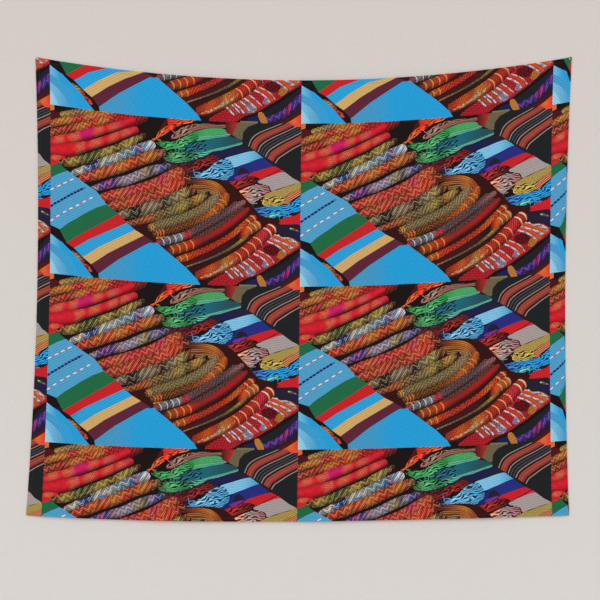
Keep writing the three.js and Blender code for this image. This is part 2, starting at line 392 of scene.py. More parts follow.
def draw_bright_roll_and_checks():
    """A thick orange and red roll, then folded checked cloth."""
    patch("455,468 520,430 600,372 640,318 680,300 713,320 713,478.5 430,478.5", "soot", sharp=True)
    check = ("452,478 474,456 500,440 540,410 590,372 612,342 636,326 662,326 704,338 713,352 712,364 "
        "692,378 672,390 650,408 620,426 588,446 552,460 520,478.5")
    patch(check, "470 red 520 crimson 560 brick 610 crimson 660 brick 713 crimson",
        "480,470 600,395 700,345", "hatch rose 0.6", fine=2.0)
    for points, colours in (
        ("548,446 560,428 580,424 588,438 572,450", "lilac"),
        ("540,418 552,408 572,412 566,424 548,428", "mauve"),
        ("604,418 612,402 628,404 624,418 612,424", "lilac"),
        ("676,362 684,348 700,350 706,358 690,368", "lilac"),
        ("610,362 640,356 654,372 640,388 612,380", "maroon"),
        ("648,392 654,374 668,376 672,388 658,398", "amber"),
    ):
        patch(points, colours, style="hatch " + ("indigo" if colours == "lilac" else "crimson") + " 0.6",
            fine=2.0)
    for line in (
        "478,419 503,438 522,457",
        "511,416 534,432 550,450",
        "536,398 560,413 585,436",
        "563,375 591,388 610,400 622,416",
        "604,340 642,356 661,369 674,380",
        "623,334 654,347 676,356 692,366",
        "648,328 680,337 705,351",
    ):
        line = rows(line)
        roll([(x + 8, y - 4, 4.6) for x, y in line], "0 scarlet 520 rust 600 scarlet 713 orange",
            "lines brick 0.4", round_=0.4)
        roll([(x, y, 2.4) for x, y in line], "0 blush 520 white 713 white", "hatch blush 0", round_=0.3)
        roll([(x + 16, y - 8, 2.0) for x, y in line], "0 salmon 520 white 713 blush", "hatch blush 0",
            round_=0.3)
    thick = "425,452,12 470,432,15 512,409,15 548,386,15 580,358,15 606,332,15 632,308,14"
    roll(thick, "425 brick 440 scarlet 460 orange 470 scarlet 484 rust 500 amber 514 orange 526 salmon "
        "536 red 590 red 600 cerise 614 cerise 622 red 650 red", "hatch amber 0.4", fine=2.4)
    roll("440,452,2 464,444,3 500,424,3.4 528,402,3 534,394,2", "440 blush 500 cream 534 amber",
        "hatch scarlet 0.6", round_=0.3)
    roll("430,458,2 452,452,3 478,436,3 500,414,2", "430 blush 500 cream", "hatch scarlet 0.6", round_=0.3)
    rings(thick, (536, 557, 576, 591), "blush", 3.6)
    rings(thick, (620, 635), "cream", 4.0)
    patch("645,300 680,296 713,300 713,348 690,336 655,330", "ink")
    roll("684,308,2 696,312,3 706,318,3", "684 leaf 706 salmon", "strands black 0.5")
    patch("690,316 713,318 713,334 694,330", "navy")


def draw_bottom_right():
    """Dark cloth with a violet stripe along the bottom right."""
    patch("588,458 640,425 690,392 713,372 713,478.5 560,478.5", "560 ink 640 black 700 ink", sharp=True)
    roll("600,474,7 640,462,9 668,446,9 692,424,10 720,398,12", "600 royal 616 indigo 626 violet "
        "636 indigo 646 violet 656 indigo 666 violet 676 magenta 684 indigo 696 violet 704 indigo "
        "713 violet", "hatch sky 0.18")
    patch("590,452 604,448 618,478.5 600,478.5", "amber", style="lines brown 0.6")
    patch("560,466 588,456 600,478.5 560,478.5", "navy", sharp=True)
    patch("540,474 590,474 590,478.5 540,478.5", "olive", sharp=True)
    patch("668,478.5 690,466 713,450 713,478.5", "668 brick 690 orange 713 scarlet", sharp=True)
    patch("650,478.5 676,462 700,448 713,440 713,450 690,466 668,478.5", "maroon", sharp=True)


def draw_tassels():
    """Tassels and cloth ends across the top, from orange to bright blue."""
    patch("262,0 345,0 330,25 290,52 255,60 248,50 275,20", "maroon")
    fringe("240,60 252,32 275,8 290,0 300,8 280,28 262,52 250,64", "240 brick 290 rust", "240,62 295,0",
        ends="262,40,22,20", count=5)
    patch("330,50 350,20 400,8 470,0 520,0 520,40 440,30 390,60 350,66 320,70", "soot")
    fringe("345,55 360,34 380,22 410,12 450,8 480,10 450,18 420,24 400,38 375,50",
        "345 mauve 400 taupe 480 brown", "345,55 400,22 480,8", ends="362,44,20,140", count=5)
    patch("390,26 430,14 470,10 500,8 512,16 470,18 430,24 404,34", "mauve", "390,30 430,18 510,12",
        "lines brown 0.8")
    fringe("250,66 285,52 312,36 336,22 348,22 338,38 316,54 296,66 274,72",
        "248 orange 320 orange 345 scarlet", "248,68 300,52 345,20", accent="brick",
        ends="272,62,26,170 300,50,20,120", count=6)
    fringe("340,0 412,0 400,8 372,16 350,30 338,34 336,16", "340 scarlet 400 orange", "345,28 410,2",
        accent="brick")
    patch("400,98 430,68 460,48 510,42 548,58 500,78 462,90 430,108", "400 petrol 440 teal 520 petrol",
        "400,98 450,60 540,55", "basket petrol 0.3")
    patch("436,92 462,82 500,72 545,58 548,62 500,80 466,90 440,100", "mint", "436,96 540,60",
        "lines teal 0.6")
    fringe("355,92 380,78 412,64 436,62 448,80 430,100 400,112 360,108", "355 petrol 430 teal 448 teal",
        "355,98 440,72", accent="ink")
    fringe("322,104 350,98 390,96 430,92 448,90 430,108 400,118 370,126 338,128 322,116",
        "322 moss 360 leaf 400 bottle 440 mint", "322,112 380,106 445,94", accent="soot",
        ends="350,112,28,170 390,112,22,90", count=7)
    patch("398,42 420,30 450,22 490,20 506,34 470,44 430,50 410,58", "400 green 440 leaf 500 leaf",
        "400,44 450,34 506,28", "lines green 0.5")
    patch("408,52 450,44 500,34 510,40 460,50 420,60", "mint", "408,54 510,38", "lines bottle 0.7")
    fringe("300,82 320,68 348,68 372,56 398,42 418,42 420,54 400,66 376,80 350,88 318,96",
        "296 green 380 leaf 410 green", "296,86 350,76 420,46", accent="fir",
        ends="318,82,28,160 360,74,24,100", count=7)
    patch("330,128 380,126 430,108 446,112 420,150 400,170 360,160 330,146", "ink")
    fringe("338,134 372,130 410,120 436,112 430,126 404,140 372,148 344,146",
        "338 wine 400 maroon 436 brick", "338,140 436,118", accent="black", ends="352,140,22,170", count=5)
    patch("442,112 455,92 490,82 540,66 572,74 596,84 560,84 510,98 480,106", "442 ink 500 navy 570 ink")
    fringe("366,150 396,142 424,126 444,108 462,98 480,106 494,108 470,122 440,134 404,150",
        "360 maroon 430 brick 490 maroon", "360,150 420,134 490,100", ends="392,144,24,170", count=6)
    patch("496,108 530,95 575,82 592,88 608,102 572,114 545,124 522,132 512,124",
        "496 sky 560 sky 600 azure", "496,112 600,94", "basket ice 0.3")
    patch("500,178 518,150 534,130 570,114 606,101 630,112 644,122 612,134 580,145 562,154 528,168",
        "500 navy 560 royal 640 royal", "500,176 560,132 640,112", "basket indigo 0.4")
    patch("534,148 544,132 560,136 566,148 550,156 538,156", "ink")
    patch("524,162 540,154 562,148 552,158 532,166", "violet")
    fringe("412,164 428,152 448,140 470,120 490,110 510,112 522,132 522,150 506,166 488,178 462,178 "
        "432,170", "396 denim 440 sky 520 azure", "396,166 450,152 515,130", accent="navy",
        ends="428,162,30,170 466,170,24,100", count=9)
    patch("562,154 598,137 640,126 660,132 640,142 606,160 580,168", "red", "562,156 660,128",
        "basket crimson 0.4")
    patch("596,168 634,148 664,134 670,142 640,154 606,170", "rose", "596,168 668,138", "lines crimson 0.5")
    fringe("506,180 528,168 566,156 592,160 590,170 562,184 532,194 510,198",
        "498 crimson 540 brick 590 maroon", "498,188 590,162", ends="518,188,22,170", count=6)
    patch("590,172 630,153 664,143 682,150 710,168 692,178 652,190 630,198 622,184", "grey",
        "590,176 700,158", "basket pewter 0.4")
    fringe("512,206 540,198 578,182 602,177 622,190 622,204 600,220 578,234 556,234 530,224",
        "503 dusk 540 blush 580 grey 620 mauve", "503,208 560,200 624,196", accent="maroon",
        ends="530,214,24,160 570,226,20,100", count=8)
    patch("604,236 616,208 650,193 690,180 713,172 713,190 690,200 668,216 660,238 630,242", "gold",
        "604,232 650,212 713,180", "lines olive 0.6")
    patch("664,232 672,214 692,200 713,190 713,206 690,224 676,236", "blush", "664,226 713,196",
        "lines maroon 0.9")
    fringe("604,236 612,220 640,214 664,218 668,232 640,242 616,244", "gold", "604,234 668,222",
        ends="622,232,22,150", count=6)
    fringe("570,254 600,246 650,241 684,235 713,214 713,254 690,262 656,272 622,280 600,278 584,268",
        "556 navy 600 denim 640 cyan 713 cyan", "556,256 630,262 713,236", accent="royal",
        ends="588,262,28,175 630,272,22,110 668,262,22,100", count=8)
    roll("590,282,2 616,276,3 642,268,3 660,262,2", "590 moss 620 mint 660 mint", "strands black 0.5")
    patch("640,292 662,278 700,268 713,262 713,300 690,298 660,296", "640 maroon 660 red 700 red",
        "640,290 713,276", "basket crimson 0.5")
    fringe("600,292 640,284 662,278 656,290 630,298 606,300", "brick", "600,296 660,282")


def draw_striped_black_cloth():
    """Black cloth with curved stripes at the top right."""
    patch("498,0 545,0 535,18 520,40 500,30", "498 maroon 530 brick", sharp=True)
    patch("540,0 592,0 562,14 549,30 546,50 528,44 520,34 530,14", "olive", "540,40 590,0",
        "lines dusk 0.7")
    patch("546,62 548,30 562,12 590,0 713,0 713,172 690,160 662,138 632,122 604,100 576,78", "black",
        sharp=True)
    first = "668,-6 640,7 612,19 588,31 572,46 563,68"
    last = "762,34 713,62 690,75 665,92 650,103 641,117"
    group = [
        (0, 0.06, "grey"), (0.06, 0.25, "dregs"), (0.25, 0.33, "clay"), (0.33, 0.46, "brick"),
        (0.46, 0.54, "clay"), (0.54, 0.68, "brick"), (0.68, 0.76, "dusk"), (0.76, 0.94, "dregs"),
        (0.94, 1, "grey"),
    ]
    fan(first, last, [(0.36 * a, 0.36 * b, tone) for a, b, tone in group])
    fan(first, last, [(0.43, 0.455, "slate"), (0.52, 0.545, "slate")])
    fan(first, last, [(0.61 + 0.39 * a, 0.61 + 0.39 * b, tone) for a, b, tone in group])
    patch("684,0 713,0 713,8 700,10 690,6", "salmon")


def draw_blue_cloths():
    """The striped blue cloth that lies over everything at the left, and the paler one below it."""
    patch("0,176 14,166 30,168 50,182 24,194 0,208", "bottle", sharp=True)
    patch("0,208 24,194 50,182 100,212 134,232 162,266 100,300 60,328 30,352 0,342", "azure", "0,240 80,195",
        "basket ice 0.35", sharp=True)
    dashes("4,240 25,228 43,217 62,206", "white", 12, 4)
    dashes("14,234 34,222 53,211", "mauve", 6, 7)
    roll("-6,296,3 14,280,3 34,266,3 54,253,3 74,240,3 100,224,3", "0 denim 100 denim", "weave blush 0",
        round_=0.0)
    dashes("4,287 14,279 24,273 34,266 43,260 53,253 62,247 72,241 81,236 90,230", "navy", 8, 7)
    dashes("4,328 22,314 42,300 60,288 79,277 98,264 117,252", "white", 11, 4)
    dashes("13,321 32,307 51,294 69,282 88,270 107,258", "mauve", 5, 7)
    for colours, accent, outline in (
        ("bottle", "leaf", "28,352 46,336 98,299 132,278 162,265 196,289 150,319 100,351 48,387"),
        ("red", "salmon", "48,387 100,351 150,319 196,289 220,313 165,342 110,372 70,400"),
        ("cyan", "ice", "70,400 110,372 165,342 220,313 243,331 190,361 140,390 95,423"),
        ("sand", "cream", "95,423 140,390 190,361 243,331 268,345 215,376 165,406 119,441"),
        ("wine", "brick", "119,441 165,406 215,376 268,345 296,362 245,389 195,421 140,466"),
        ("140 azure 200 azure 260 cyan 430 cyan", "azure",
         "140,466 195,421 245,389 284,365 306,364 346,396 388,430 420,462 430,478.5 140,478.5"),
    ):
        patch(outline, colours, "40,380 195,288", "basket " + accent + " 0.12", sharp=True)
    patch("0,342 28,352 48,387 70,402 95,424 119,442 140,468 142,478.5 124,478.5 108,458 80,425 40,391 "
        "0,366", "soot", sharp=True)
    roll("64,412,4 78,422,6 94,436,6", "64 rust 80 amber 94 rust", "rope soot 0.6")
    roll("98,442,4 110,453,6 118,460,4", "98 brick 118 salmon", "hatch blush 0.2")
    roll("28,386,2 34,389,4 40,392,2", "violet", "hatch blush 0")
    corner = "0,366 40,391 80,425 108,458 126,478.5 0,478.5"
    patch(corner, "0 sky 30 cyan 126 cyan", "0,366 126,478.5", "basket azure 0.3", sharp=True)
    tones = ["cyan", "azure", "sky", "ice"]
    for k in (1, 2, 3):
        right, drop = 110 - 26 * k, 22 * k
        edge = [(0, 370 + drop), (right * 0.4, 386 + drop), (right * 0.8, 410 + drop)]
        patch([*edge, (right, 478.5), (0, 478.5)], f"0 {tones[k]} {right} {tones[k - 1]}", "0,366 126,478.5",
            "basket sky 0.2", sharp=True)


draw_tassels()
draw_top_left_rolls()
draw_middle_rolls()
draw_red_rolls()
draw_thin_rolls()
draw_bright_roll_and_checks()
draw_bottom_right()
draw_striped_black_cloth()
draw_blue_cloths()

# ---- the print, cut into triangles ----

KINDS = ["weave", "hatch", "satin", "strands", "lines", "rope", "basket"]
CUT_Z = -0.022  # the corner pieces end here, below where they bend
FLAT = np.array((WIDTH, HEIGHT)) / MM
GRID, FOLD_GRID = 16.0, 2.5


def grid_points():
    """Flat points a grid step apart, closer near the line where the cloth folds."""
    columns, levels = (np.linspace(0, size, int(size / GRID)) for size in FLAT)
    fold_t = (CORNER_Z - TOP_SAG * 2 / 3 - FOLD_Z) / MM
    levels = np.unique(np.concatenate([levels, np.arange(fold_t - 45, fold_t + 75, FOLD_GRID)]))
    s, t = np.meshgrid(columns, levels)
    s[1::2, 1:-1] += GRID / 2
    return np.stack([np.clip(s, 0, FLAT[0]).ravel(), t.ravel()], axis=1)


def cut_lines():
    """The flat points that hang at CUT_Z, from the left edge to the top edge and on the right likewise."""
    lines = []
    for start in (0.0, 1.0):
        a = np.linspace(start, 0.5, 400)
        top, bottom = top_and_bottom(a)
        line = np.stack([a * WIDTH, (top - CUT_Z) / (top - bottom) * HEIGHT], axis=1)
        line = line[:np.argmin(line[:, 1] > 0)]
        line[-1, 1] = 0.0
        lines.append(np.vstack([line[::len(line) // 24], line[-1:]]) / MM)
    return lines


def triangulate(points, loops):
    """Triangles over the points that keep the edges of the closed loops and of the cut lines."""
    coords, edges = [Vector(p) for p in points], []
    for line, closed in [*((loop, 1) for loop in loops), *((line, 0) for line in cut_lines())]:
        base, n = len(coords), len(line)
        edges += [(base + k, base + (k + 1) % n) for k in range(n - 1 + closed)]
        coords += [Vector(p) for p in line]
    flat, _, tris, *_ = delaunay_2d_cdt(coords, edges, [], 0, 0.02, False)
    flat, tris = np.array([p[:] for p in flat]), np.array(tris)
    a, b, c = (flat[tris[:, k]] for k in range(3))
    area = np.abs((b - a)[:, 0] * (c - a)[:, 1] - (b - a)[:, 1] * (c - a)[:, 0])
    return flat, tris[area > 1e-4]


def inside(outline, points):
    """Which points lie inside a closed outline."""
    a, b = outline, np.roll(outline, -1, axis=0)
    x, y = points[:, :1], points[:, 1:]
    spans = (a[:, 1] > y) != (b[:, 1] > y)
    rise = np.where(b[:, 1] == a[:, 1], 1e-9, b[:, 1] - a[:, 1])
    crossing = spans & (x < a[:, 0] + (b[:, 0] - a[:, 0]) * (y - a[:, 1]) / rise)
    return crossing.sum(1) % 2 == 1


def print_triangles():
    """The face of the flat cloth: points, triangles, and each triangle's shape and corner of repeat."""
    outlines = []
    for i, j in np.ndindex(4, 4):
        place = np.array(FIRST_SEAM) + (i - 1, j - 1) * np.array(REPEAT)
        low, high = np.maximum(place, 0), np.minimum(place + REPEAT, FLAT)
        if (high - low).min() < 1:
            continue
        outlines.append((np.array([low, (high[0], low[1]), high, (low[0], high[1])]), -1, place))
        for k, made in enumerate(SHAPES):
            outline = np.clip(made["outline"] + place, low, high)
            outline = outline[np.linalg.norm(outline - np.roll(outline, 1, axis=0), axis=1) > 0.05]
            if len(outline) > 2 and np.ptp(outline, axis=0).min() > 0.2:
                outlines.append((outline, k, place))
    flat, tris = triangulate(grid_points(), [outline for outline, _, _ in outlines])
    middle = flat[tris].mean(1)
    shapes, places = np.full(len(tris), -1), np.zeros((len(tris), 2))
    for outline, k, place in outlines:
        near = np.flatnonzero(((middle > outline.min(0)) & (middle < outline.max(0))).all(1))
        found = near[inside(outline, middle[near])]
        shapes[found], places[found] = k, place
    return flat, tris, shapes, places


def nearest_on(line, half, points):
    """How far along the line each point's nearest place is, its signed distance, and that over half."""
    a, run = line[:-1], line[1:] - line[:-1]
    length = np.maximum(np.linalg.norm(run, axis=1), 1e-9)
    start = np.concatenate([[0], np.cumsum(length)[:-1]])
    share = ((points[:, None] - a) * run).sum(2) / length**2
    share[:, 1:] = np.maximum(share[:, 1:], 0)
    share[:, :-1] = np.minimum(share[:, :-1], 1)
    gap = points[:, None] - (a + share[..., None] * run)
    k = (gap**2).sum(2).argmin(1)
    each = np.arange(len(points))
    best, gap = share[each, k], gap[each, k]
    way = np.where(run[:, 0] < 0, -1, 1)[k]
    off = (run[k, 0] * gap[:, 1] - run[k, 1] * gap[:, 0]) / length[k] * way
    half = half if np.ndim(half) else np.full(len(line), half)
    wide = half[k] + (half[k + 1] - half[k]) * np.clip(best, 0, 1)
    return start[k] + best * length[k], off, np.clip(off / wide, -1.2, 1.2)


class Print:
    """The printed face as flat triangles, with its colour, accent and thread direction at each of their
    corners and each one's kind of cloth."""

    def __init__(self):
        self.flat, self.tris, shapes, places = print_triangles()
        corners = self.flat[self.tris] - places[:, None]
        count = len(self.tris)
        self.colour, self.accent = np.zeros((count, 3, 4)), np.zeros((count, 3, 4))
        self.form, self.kind = np.zeros((count, 3, 3)), np.zeros(count, int)
        self.colour[..., :3] = linear("soot")
        self.form[..., :2] = corners * MM
        for k, made in enumerate(SHAPES):
            found = np.flatnonzero(shapes == k)
            if len(found):
                self.paint(found, made, corners[found].reshape(-1, 2))
        middles = self.flat[self.tris].mean(1)
        self.tree = KDTree(len(middles))
        for k, (x, y) in enumerate(middles):
            self.tree.insert((x, y, 0), k)
        self.tree.balance()

    def paint(self, found, made, points):
        """Gives the found triangles, whose corners are the points, the look of a shape."""
        for c in range(3):
            tones = np.interp(points[:, 0], made["stops"], made["tones"][:, c])
            self.colour[found, :, c] = tones.reshape(-1, 3)
        self.colour[found, :, 3] = made["round"]
        self.accent[found, :, :3], self.accent[found, :, 3] = made["accent"], made["strength"]
        u, v, share = nearest_on(made["guide"], made["half"], points)
        size = MM * made["fine"]
        self.form[found] = np.stack([u * size, v * size, share], axis=1).reshape(-1, 3, 3)
        self.kind[found] = KINDS.index(made["kind"])

    def at(self, flat):
        """The nearest triangle's number for each flat point, in millimetres."""
        return np.array([self.tree.find((x, y, 0))[1] for x, y in flat])

    def mean_colour(self, flat):
        """The print's colour about each flat point, averaged over some of the triangles near it."""
        means = self.colour.mean(1)
        return np.array([means[[k for _, k, _ in self.tree.find_n((x, y, 0), 14)]].mean(0) for x, y in flat])

    def rim(self):
        """The face's outer edges, as pairs of point numbers."""
        edges = np.vstack([self.tris[:, [0, 1]], self.tris[:, [1, 2]], self.tris[:, [2, 0]]])
        _, first, count = np.unique(np.sort(edges, axis=1), axis=0, return_index=True, return_counts=True)
        return edges[first[count == 1]]


# ---- meshes ----


def add_mesh(name, points, faces, materials, slots=None, attributes=None, smooth_=True):
    """An object from plain arrays. Attributes are values for each face corner by name."""
    mesh = bpy.data.meshes.new(name)
    mesh.from_pydata(np.asarray(points).tolist(), [], [list(map(int, f)) for f in faces])
    for material in materials:
        mesh.materials.append(material.material)
    if slots is not None:
        mesh.polygons.foreach_set("material_index", np.asarray(slots, np.int32))
    mesh.polygons.foreach_set("use_smooth", np.full(len(mesh.polygons), smooth_))
    for key, values in (attributes or {}).items():
        kind, field = ("FLOAT_COLOR", "color") if values.shape[-1] == 4 else ("FLOAT_VECTOR", "vector")
        made = mesh.attributes.new(key, kind, "CORNER")
        made.data.foreach_set(field, np.asarray(values, np.float32).ravel())
    made = bpy.data.objects.new(name, mesh)
    bpy.context.collection.objects.link(made)
    return made


def print_attributes(colour, accent, form, flat):
    """The four corner attributes that the print's shaders read."""
    flat = np.concatenate([flat * MM, np.zeros((len(flat), 1))], axis=1)
    return {"print_colour": colour, "print_accent": accent, "print_form": form, "flat": flat}


def tube_faces(count, around, base=0, ends=True):
    """Quads from each ring of points to the next, with the two ends closed or left out."""
    faces = []
    for a in range(base, base + (count - 1) * around):
        b = a + 1 if (a + 1 - base) % around else a + 1 - around
        faces.append((a, b, b + around, a + around))
    last = base + (count - 1) * around
    closing = [tuple(range(base, base + around))[::-1], tuple(range(last, last + around))]
    return faces + closing if ends else faces


# ---- materials ----


class Value:
    """An output of a shader's node. A sum with it is a math node."""

    def __init__(self, shader, socket):
        self.shader, self.socket = shader, socket

    def math(self, operation, other=0.0):
        return self.shader.node("Math", {0: self, 1: other}, operation=operation)

    def __add__(self, other):
        return self.math("ADD", other)

    def __sub__(self, other):
        return self.math("SUBTRACT", other)

    def __mul__(self, other):
        return self.math("MULTIPLY", other)

    def wave(self, period, phase=0.0):
        """A sine of it that runs from 0 to 1."""
        return (self * (TURN / period) + phase).math("SINE") * 0.5 + 0.5

    def step(self, low, high):
        """0 where it is below low and 1 above high, or the other way round where low is the higher."""
        start = 0.0 if low < high else 1.0
        ends = {0: self, 1: min(low, high), 2: max(low, high), 3: start, 4: 1.0 - start}
        return self.shader.node("MapRange", ends, interpolation_type="SMOOTHSTEP")


class Shader:
    """A material's node tree, wired by calls that each give back the new node's output."""

    def __init__(self, name, **surface):
        self.material = bpy.data.materials.new(name)
        self.material.use_nodes = True
        self.nodes, self.links = self.material.node_tree.nodes, self.material.node_tree.links
        self.surface = self.nodes["Principled BSDF"]
        for socket, value in surface.items():
            self.feed(self.surface.inputs[socket.replace("_", " ")], value)

    def feed(self, socket, value):
        if isinstance(value, Value):
            self.links.new(value.socket, socket)
        else:
            socket.default_value = value

    def node(self, kind, feeds, output=0, **settings):
        node = self.nodes.new("ShaderNode" + kind)
        for name, value in settings.items():
            setattr(node, name, value)
        for socket, value in feeds.items():
            self.feed(node.inputs[socket], value)
        return Value(self, node.outputs[output])

    def colour(self, value):
        self.feed(self.surface.inputs["Base Color"], value)

    def bump(self, height, strength, distance):
        raised = self.node("Bump", {"Height": height, "Strength": strength, "Distance": distance})
        self.feed(self.surface.inputs["Normal"], raised)

    def mix(self, share, a, b, how="MIX"):
        return self.node("Mix", {0: share, 6: a, 7: b}, 2, data_type="RGBA", blend_type=how)

    def attribute(self, name, output=0):
        return self.node("Attribute", {}, output, attribute_name=name)

    def split(self, vector):
        first = self.node("SeparateXYZ", {0: vector})
        return [Value(self, socket) for socket in first.socket.node.outputs]

    def join(self, x, y, z=0.0):
        return self.node("CombineXYZ", {0: x, 1: y, 2: z})

    def noise(self, scale, detail, x, y=0.0, z=0.0):
        return self.node("TexNoise", {"Vector": self.join(x, y, z), "Scale": scale, "Detail": detail})

    def weave(self, x, y, pitch=0.0011, strength=0.25):
        """The fine over and under of a plain weave."""
        self.bump(x.wave(pitch) * y.wave(pitch * 1.1), strength, 0.00015)


def pattern(shader, kind, u, v):
    """Where the motif of that kind of cloth shows, from 0 to 1, and how its grain tones it."""
    wobble = shader.noise(75.0, 2.0, u, v)
    grain = shader.noise(520.0, 3.0, u, v * 1.6)
    soft = grain * 0.5 + 0.75
    speckle = grain.step(0.36, 0.64) * 0.8 + 0.45
    if kind == "weave":
        return u.wave(0.0031) * v.wave(0.0027), soft
    if kind == "basket":
        ribs = v.wave(0.0066) * 0.26 + 0.82
        return u.wave(0.0048).step(0.3, 0.8) * v.wave(0.0036), ribs * (grain * 0.5 + 0.76)
    if kind == "hatch":
        turn = u.math("PINGPONG", 0.0125)
        straight = shader.noise(16.0, 0.0, u).step(0.53, 0.56)
        lean = straight * (u * 0.7 - turn) + turn
        zigzag, gate = lean + v, wobble.step(0.36, 0.46)
        lines = zigzag.wave(0.0062).step(0.56, 0.8) * gate
        gaps = zigzag.wave(0.0062, 2.8).step(0.6, 0.9) * gate
        broad = (lean * 1.25 + v).wave(0.0185).step(0.38, 0.62)
        dark = (gaps * -0.8 + 1.05) * (broad * 0.52 + 0.56)
        return lines * (broad * 0.85 + 0.15), speckle * dark
    if kind == "satin":
        worn = shader.noise(62.0, 1.0, u * 0.6, v).step(0.36, 0.6)
        pale = shader.split(shader.attribute("print_colour"))[1].step(0.012, 0.075) * worn
        steps = u.math("PINGPONG", 0.008) + v
        knots = steps.wave(0.0068).step(0.4, 0.8) * grain.step(0.4, 0.52)
        furrow = steps.wave(0.0068, 2.8).step(0.6, 0.9) * pale
        return knots * pale, (wobble * 0.6 + 0.58) * (furrow * -0.6 + 1.0)
    if kind == "strands":
        sway = wobble * 0.009 + (shader.noise(38.0, 1.0, u * 0.5, v) * 0.03 + v)
        under = (u * 0.3 + sway).wave(0.0078, 1.0)
        ridge = sway.wave(0.0061).math("MAXIMUM", under * 0.8)
        return ridge.step(0.8, 0.54), (ridge.step(0.55, 1.0) * 0.95 + 0.55) * soft
    if kind == "lines":
        return (wobble * 0.001 + v).wave(0.0052).step(0.45, 0.75), speckle
    return (v * 0.9 + u).wave(0.0105).step(0.5, 0.8), speckle


def printed_material(kind):
    """The printed face: the mesh carries its colours, and the motif and shading are drawn over them."""
    shader = Shader("print_" + kind, Roughness=0.8, Specular_IOR_Level=0.1)
    u, v, share = shader.split(shader.attribute("print_form", 1))
    motif, grain = pattern(shader, kind, u, v)
    motif = motif * shader.attribute("print_accent", 3)
    colour = shader.mix(motif, shader.attribute("print_colour"), shader.attribute("print_accent"))
    off = share + 0.25
    shade = (off * off * -0.85 + 1.1).math("MAXIMUM", 0.16) - 1.0
    shade = shade * shader.attribute("print_colour", 3) + 1.0
    tone = (shader.noise(120.0, 3.0, u, v * 5.0) * 0.5 + 0.75) * grain * shade
    shader.colour(shader.mix(1.0, colour, shader.join(tone, tone, tone), "MULTIPLY"))
    x, y, _ = shader.split(shader.attribute("flat", 1))
    shader.weave(x, y)
    return shader


def back_material():
    """The unprinted back, with the print showing faintly through."""
    shader = Shader("cloth_back", Roughness=0.85, Specular_IOR_Level=0.15)
    x, y, _ = shader.split(shader.attribute("flat", 1))
    pale = shader.mix(shader.noise(25.0, 2.0, x, y), (0.58, 0.55, 0.53, 1), (0.66, 0.63, 0.61, 1))
    shader.colour(shader.mix(0.2, pale, shader.attribute("print_colour")))
    shader.weave(x, y, strength=0.35)
    return shader


def thread_material():
    shader = Shader("sewing_thread", Roughness=0.7, Sheen_Weight=0.3)
    x, y, z = shader.split(shader.node("TexCoord", {}, 3))
    shader.colour(shader.mix((x + z + y).wave(0.0007), (0.035, 0.03, 0.034, 1), (0.085, 0.078, 0.085, 1)))
    return shader


def steel_material():
    shader = Shader("nail_steel", Metallic=1.0, Roughness=0.34)
    shine = shader.noise(900.0, 2.0, *shader.split(shader.node("TexCoord", {}, 3)))
    shader.colour(shader.mix(shine, (0.5, 0.51, 0.53, 1), (0.68, 0.69, 0.71, 1)))
    shader.bump(shine, 0.1, 0.0001)
    return shader


def label_material():
    shader = Shader("label_tape", Roughness=0.45, Sheen_Weight=0.2)
    x, _, z = shader.split(shader.node("TexCoord", {}, 3))
    shader.colour(shader.mix(shader.noise(300.0, 2.0, x, z), (0.84, 0.83, 0.8, 1), (0.9, 0.89, 0.87, 1)))
    shader.weave(x, z, 0.0005, 0.3)
    return shader


PRINTED = [printed_material(kind) for kind in KINDS]
CLOTH_SHADERS = [*PRINTED, back_material()]
THREAD, STEEL, LABEL = thread_material(), steel_material(), label_material()

# ---- the cloth ----

FOLD_BAND = 0.018


def hang(made, part):
    """Bakes a piece's transform in place if it is the whole cloth or a corner, or else attaches it to the body
    of that name.
    """
    if part == "corner":
        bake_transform(made)
    elif part == "whole":
        start, end = (0, 0, FOLD_Z + FOLD_BAND), (0, 0, FOLD_Z - FOLD_BAND)
        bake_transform(made)
    else:
        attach(made, part)
    return made


def back_triangles(printed, rim):
    """A coarser back with the same outer edge."""
    after = dict(rim.tolist())
    loop = [rim[0][0]]
    while after[loop[-1]] != loop[0]:
        loop.append(after[loop[-1]])
    inner = grid_points()
    kept = ((inner > 3) & (inner < FLAT - 3)).all(1)
    return triangulate(inner[kept], [printed.flat[loop]])


